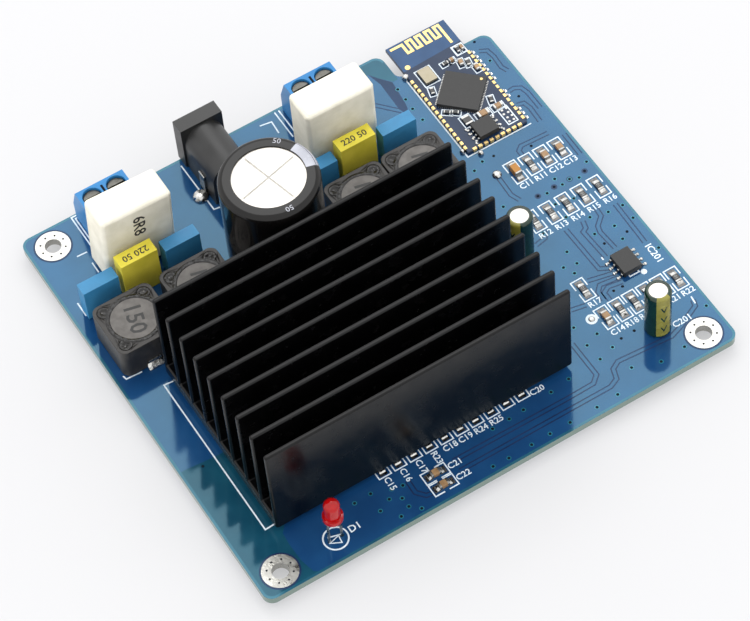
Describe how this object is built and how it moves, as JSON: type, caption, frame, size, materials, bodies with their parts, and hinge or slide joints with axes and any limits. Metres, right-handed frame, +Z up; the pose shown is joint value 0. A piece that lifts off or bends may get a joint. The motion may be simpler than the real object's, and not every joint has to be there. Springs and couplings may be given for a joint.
{
  "type": "audio amplifier board",
  "caption": "Circuit board with a black finned heatsink over its power stage, output filter parts, screw terminals, a power jack, a wireless module and an indicator lamp.",
  "frame": {"origin": "centre of the footprint, on the surface that the solder stubs and screw heads under the board stand on", "axes": "+X along the front edge towards the wireless module's side, +Y towards the connectors at the back, +Z up"},
  "size_m": [0.1, 0.0932, 0.0291],
  "materials": {
    "blue_solder_mask": "glossy solder mask on glass epoxy",
    "tinned_copper": "bright tin over copper",
    "solder": "bright solder",
    "black_anodised_aluminium": "black anodised, extruded",
    "plated_steel": "bright plated",
    "silicone_pad": "soft grey pad",
    "black_epoxy": "moulded epoxy",
    "enamelled_copper": "enamelled wire",
    "ferrite": "pressed ferrite",
    "ferrite_core": "pressed and ground ferrite",
    "dark_resin": "cured resin",
    "bare_aluminium": "drawn, bare",
    "black_sleeve": "shrunk film",
    "black_rubber": "moulded rubber",
    "white_cement": "cast ceramic",
    "yellow_plastic": "moulded plastic",
    "blue_plastic": "moulded plastic",
    "terminal_plastic": "moulded plastic",
    "black_plastic": "moulded plastic",
    "navy_solder_mask": "glossy solder mask",
    "gold_plating": "gold over nickel",
    "crystal_can": "plated can",
    "green_sleeve": "shrunk film",
    "red_lens": "clear tinted resin",
    "black_glaze": "glazed film on ceramic",
    "tan_ceramic": "fired ceramic"
  },
  "bodies": {
    "board_assembly": {"board": "blue_solder_mask", "mounting_pads": "tinned_copper", "solder_joints": "solder", "heatsink": "black_anodised_aluminium", "heatsink_screws": "plated_steel", "thermal_pad": "silicone_pad", "amplifier_chip_body": "black_epoxy", "amplifier_chip_leads": "tinned_copper", "inductor_shield_1": "ferrite", "inductor_shield_2": "ferrite", "inductor_shield_3": "ferrite", "inductor_shield_4": "ferrite", "inductor_core_1": "ferrite_core", "inductor_core_2": "ferrite_core", "inductor_core_3": "ferrite_core", "inductor_core_4": "ferrite_core", "inductor_windings": "enamelled_copper", "inductor_clips": "tinned_copper", "inductor_resin": "dark_resin", "main_capacitor_can": "bare_aluminium", "main_capacitor_sleeve": "black_sleeve", "main_capacitor_bung": "black_rubber", "cement_resistor_1": "white_cement", "cement_resistor_2": "white_cement", "yellow_film_capacitor_1": "yellow_plastic", "yellow_film_capacitor_2": "yellow_plastic", "blue_film_capacitor_1": "blue_plastic", "blue_film_capacitor_2": "blue_plastic", "blue_film_capacitor_3": "blue_plastic", "blue_film_capacitor_4": "blue_plastic", "component_leads": "tinned_copper", "terminal_housing_1": "terminal_plastic", "terminal_housing_2": "terminal_plastic", "terminal_contacts": "tinned_copper", "jack_housing": "black_plastic", "jack_centre_pin": "plated_steel", "jack_contacts": "plated_steel", "module_board": "navy_solder_mask", "module_contacts": "gold_plating", "module_radio_chip": "black_epoxy", "module_memory_chip": "black_epoxy", "module_memory_leads": "tinned_copper", "module_crystal": "crystal_can", "operational_amplifier_body": "black_epoxy", "operational_amplifier_leads": "tinned_copper", "small_capacitor_cans": "bare_aluminium", "small_capacitor_sleeves": "green_sleeve", "indicator_lens": "red_lens", "chip_resistors": "black_glaze", "chip_capacitors": "tan_ceramic", "chip_terminations": "tinned_copper"},
    "terminal_screw_1": {"terminal_screw_1": "plated_steel"},
    "terminal_clamp_1": {"terminal_clamp_1": "plated_steel"},
    "terminal_screw_2": {"terminal_screw_2": "plated_steel"},
    "terminal_clamp_2": {"terminal_clamp_2": "plated_steel"},
    "terminal_screw_3": {"terminal_screw_3": "plated_steel"},
    "terminal_clamp_3": {"terminal_clamp_3": "plated_steel"},
    "terminal_screw_4": {"terminal_screw_4": "plated_steel"},
    "terminal_clamp_4": {"terminal_clamp_4": "plated_steel"}
  },
  "joints": [
    {"name": "terminal_screw_1_turn", "type": "hinge", "parent": "board_assembly", "child": "terminal_screw_1", "pos_m": [-0.03554, 0.04075, 0.0129], "axis": [0, 0, -1], "range_deg": [0, 1153]},
    {"name": "terminal_clamp_1_lift", "type": "slide", "parent": "board_assembly", "child": "terminal_clamp_1", "axis": [0, 0, 1], "range_m": [0, 0.0016]},
    {"name": "terminal_screw_2_turn", "type": "hinge", "parent": "board_assembly", "child": "terminal_screw_2", "pos_m": [-0.03046, 0.04075, 0.0129], "axis": [0, 0, -1], "range_deg": [0, 1153]},
    {"name": "terminal_clamp_2_lift", "type": "slide", "parent": "board_assembly", "child": "terminal_clamp_2", "axis": [0, 0, 1], "range_m": [0, 0.0016]},
    {"name": "terminal_screw_3_turn", "type": "hinge", "parent": "board_assembly", "child": "terminal_screw_3", "pos_m": [0.00991, 0.04075, 0.0129], "axis": [0, 0, -1], "range_deg": [0, 1153]},
    {"name": "terminal_clamp_3_lift", "type": "slide", "parent": "board_assembly", "child": "terminal_clamp_3", "axis": [0, 0, 1], "range_m": [0, 0.0016]},
    {"name": "terminal_screw_4_turn", "type": "hinge", "parent": "board_assembly", "child": "terminal_screw_4", "pos_m": [0.01499, 0.04075, 0.0129], "axis": [0, 0, -1], "range_deg": [0, 1153]},
    {"name": "terminal_clamp_4_lift", "type": "slide", "parent": "board_assembly", "child": "terminal_clamp_4", "axis": [0, 0, 1], "range_m": [0, 0.0016]}
  ],
  "couplings": [
    {"joint": "terminal_screw_1_turn", "follows": "terminal_clamp_1_lift", "rad_per_m": 12566},
    {"joint": "terminal_screw_2_turn", "follows": "terminal_clamp_2_lift", "rad_per_m": 12566},
    {"joint": "terminal_screw_3_turn", "follows": "terminal_clamp_3_lift", "rad_per_m": 12566},
    {"joint": "terminal_screw_4_turn", "follows": "terminal_clamp_4_lift", "rad_per_m": 12566}
  ]
}
